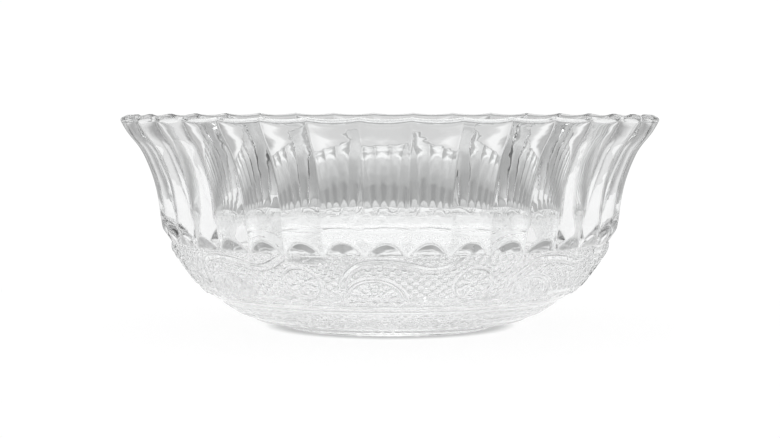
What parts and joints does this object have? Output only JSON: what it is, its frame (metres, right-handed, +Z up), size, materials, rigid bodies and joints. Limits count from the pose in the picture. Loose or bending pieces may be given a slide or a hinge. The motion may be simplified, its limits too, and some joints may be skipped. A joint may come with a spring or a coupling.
{
  "type": "punch bowl",
  "caption": "Clear pressed-glass punch bowl with a lobed, flared wall, a band of raised ornament and a low ribbed base.",
  "frame": {"origin": "middle of the resting plane, under the middle of the base", "axes": "+Z up along the bowl's axis; the middle of a lobe faces -Y, and another faces +X"},
  "size_m": [0.278, 0.278, 0.1098],
  "materials": {
    "clear_glass": "clear, fire-polished pressed glass"
  },
  "bodies": {
    "root": {"bowl": "clear_glass"}
  },
  "joints": []
}
